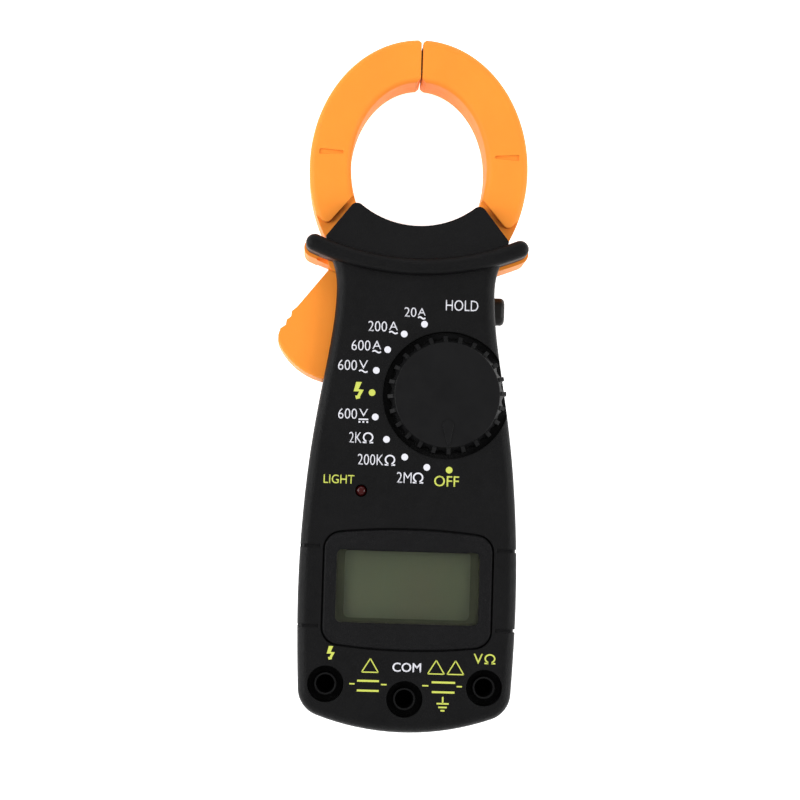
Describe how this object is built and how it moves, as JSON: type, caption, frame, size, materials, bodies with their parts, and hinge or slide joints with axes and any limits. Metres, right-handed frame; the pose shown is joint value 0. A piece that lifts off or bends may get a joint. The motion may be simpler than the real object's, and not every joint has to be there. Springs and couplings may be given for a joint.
{
  "type": "clamp meter",
  "caption": "Hand-held clamp meter with a hinged spring jaw, thumb trigger, rotary range switch, small display and probe sockets.",
  "frame": {"origin": "on the flat back face, on the centreline, 59.5 mm from the lower end", "axes": "+X to the reader's right across the width, +Y along the length towards the jaws, +Z from the back to the display side; it lies on its back"},
  "size_m": [0.0624, 0.1742, 0.0278],
  "materials": {
    "case_black": "fine-grained moulded",
    "bezel_black": "fine grain",
    "lens": "clear window",
    "lcd": "dark olive, unlit",
    "white_plastic": "natural",
    "zebra": "pinkish grey",
    "pcb": "solder mask",
    "components": "mixed parts",
    "steel": "zinc plated",
    "spring_steel": "nickel plated",
    "brass": "turned",
    "led_red": "tinted, unlit",
    "cell": "plain wrapper",
    "dial_black": "satin",
    "button_black": "satin",
    "jaw_orange": "satin",
    "core": "laminated",
    "copper": "enamelled wire under tape",
    "wire_red": "insulated",
    "label_grey": "blank film"
  },
  "bodies": {
    "case": {"front_case": "case_black", "rear_case": "case_black", "rear_label": "label_grey", "display_bezel": "bezel_black", "display_lens": "lens", "lcd_panel": "lcd", "lcd_frame": "white_plastic", "zebra_strips": "zebra", "main_board": "pcb", "board_components": "components", "board_screws": "steel", "indicator_led": "led_red", "input_socket_left": "brass", "input_socket_centre": "brass", "input_socket_right": "brass", "battery_cells": "cell", "battery_plates": "spring_steel", "battery_springs": "spring_steel", "battery_cover": "case_black", "battery_cover_screw": "steel", "case_screws": "steel", "hold_switch": "components", "fixed_jaw_front": "jaw_orange", "fixed_jaw_rear": "jaw_orange", "fixed_jaw_screw": "steel", "fixed_core": "core", "pivot_pin": "steel", "coil_bobbin": "white_plastic", "coil_winding": "copper", "coil_leads": "wire_red", "jaw_spring": "spring_steel"},
    "jaw": {"moving_jaw_front": "jaw_orange", "moving_jaw_rear": "jaw_orange", "moving_core": "core", "trigger": "jaw_orange", "moving_jaw_screws": "steel"},
    "dial": {"range_dial": "dial_black", "dial_rotor": "white_plastic", "detent_balls": "steel", "detent_springs": "spring_steel", "dial_wipers": "brass", "dial_screw": "steel"},
    "hold": {"hold_button": "button_black"}
  },
  "joints": [
    {"name": "jaw_pivot", "type": "hinge", "parent": "case", "child": "jaw", "pos_m": [-0.019, 0.058, 0.013], "axis": [0, 0, 1], "range_deg": [0, 25], "stiffness_Nm_per_rad": 0.6, "springref_deg": -20.05, "deforming": ["jaw_spring"]},
    {"name": "dial_spin", "type": "hinge", "parent": "case", "child": "dial", "pos_m": [0.00835, 0.0245, 0.025], "axis": [0, 0, 1], "range_deg": [-162, 0]},
    {"name": "hold_press", "type": "slide", "parent": "case", "child": "hold", "axis": [-1, 0, 0], "range_m": [0, 0.0008], "stiffness_N_per_m": 1500, "springref_m": -0.0008}
  ]
}
